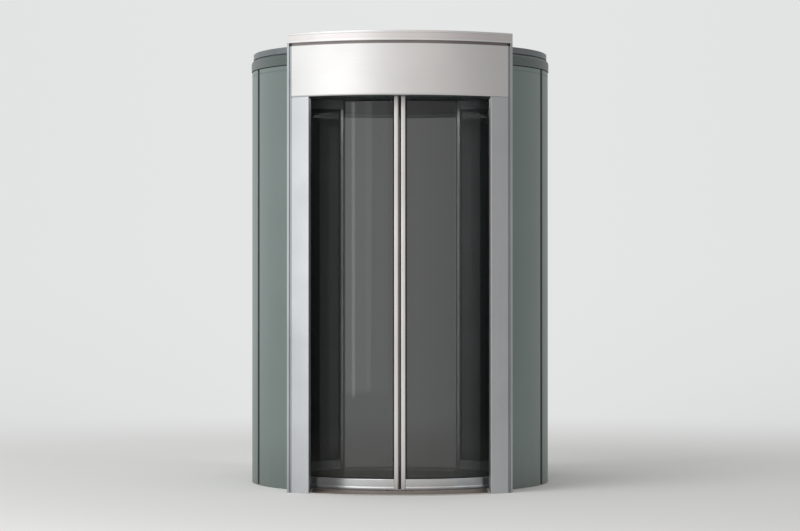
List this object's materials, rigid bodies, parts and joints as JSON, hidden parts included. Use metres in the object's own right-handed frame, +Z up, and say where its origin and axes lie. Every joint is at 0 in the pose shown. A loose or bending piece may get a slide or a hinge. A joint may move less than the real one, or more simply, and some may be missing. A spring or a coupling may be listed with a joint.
{
  "type": "circular sliding door with curved leaves",
  "caption": "Metal door drum with a convex portal front and rear, each closed by curved glazed leaves that slide round the drum's upright axis.",
  "frame": {"origin": "on the floor at the upright axis of the drum", "axes": "+Z up, -Y out of the front doorway, +X to the right of someone who faces it"},
  "size_m": [2.1846, 2.5548, 3.197],
  "materials": {
    "satin_aluminium": "satin anodised",
    "wall_aluminium": "satin grey-green coated",
    "dark_lining": "matt dark grey",
    "frame_aluminium": "satin anodised",
    "glass": "clear curved",
    "seal_rubber": "matt black",
    "threshold_steel": "worn brown-grey",
    "mat": "ribbed dark",
    "roof_metal": "matt grey",
    "rail_steel": "drawn"
  },
  "bodies": {
    "casing": {"floor_mat": "mat", "left_floor_ring": "threshold_steel", "right_floor_ring": "threshold_steel", "front_threshold": "threshold_steel", "rear_threshold": "threshold_steel", "left_front_wall_panels": "wall_aluminium", "left_rear_wall_panels": "wall_aluminium", "right_front_wall_panels": "wall_aluminium", "right_rear_wall_panels": "wall_aluminium", "left_wall_lining": "dark_lining", "right_wall_lining": "dark_lining", "left_wall_rim": "satin_aluminium", "right_wall_rim": "satin_aluminium", "front_left_jamb": "satin_aluminium", "front_right_jamb": "satin_aluminium", "rear_left_jamb": "satin_aluminium", "rear_right_jamb": "satin_aluminium", "front_left_post": "satin_aluminium", "front_right_post": "satin_aluminium", "rear_left_post": "satin_aluminium", "rear_right_post": "satin_aluminium", "front_header": "satin_aluminium", "rear_header": "satin_aluminium", "front_soffit": "dark_lining", "rear_soffit": "dark_lining", "front_neck": "dark_lining", "rear_neck": "dark_lining", "front_crown_band": "satin_aluminium", "rear_crown_band": "satin_aluminium", "roof": "roof_metal", "ceiling": "dark_lining", "ring_rail": "rail_steel"},
    "front_left_leaf": {"front_left_leaf_frame": "frame_aluminium", "front_left_leaf_glass": "glass", "front_left_leaf_seal": "seal_rubber"},
    "front_right_leaf": {"front_right_leaf_frame": "frame_aluminium", "front_right_leaf_glass": "glass", "front_right_leaf_seal": "seal_rubber"},
    "rear_left_leaf": {"rear_left_leaf_frame": "frame_aluminium", "rear_left_leaf_glass": "glass", "rear_left_leaf_seal": "seal_rubber"},
    "rear_right_leaf": {"rear_right_leaf_frame": "frame_aluminium", "rear_right_leaf_glass": "glass", "rear_right_leaf_seal": "seal_rubber"}
  },
  "joints": [
    {"name": "front_left_slide", "type": "hinge", "parent": "casing", "child": "front_left_leaf", "pos_m": [0, 0, 0], "axis": [0, 0, -1], "range_deg": [0, 39]},
    {"name": "front_right_slide", "type": "hinge", "parent": "casing", "child": "front_right_leaf", "pos_m": [0, 0, 0], "axis": [0, 0, 1], "range_deg": [0, 39]},
    {"name": "rear_left_slide", "type": "hinge", "parent": "casing", "child": "rear_left_leaf", "pos_m": [0, 0, 0], "axis": [0, 0, 1], "range_deg": [-27, 12]},
    {"name": "rear_right_slide", "type": "hinge", "parent": "casing", "child": "rear_right_leaf", "pos_m": [0, 0, 0], "axis": [0, 0, -1], "range_deg": [-27, 12]}
  ],
  "couplings": [
    {"joint": "front_right_slide", "follows": "front_left_slide", "ratio": 1},
    {"joint": "rear_right_slide", "follows": "rear_left_slide", "ratio": 1}
  ]
}
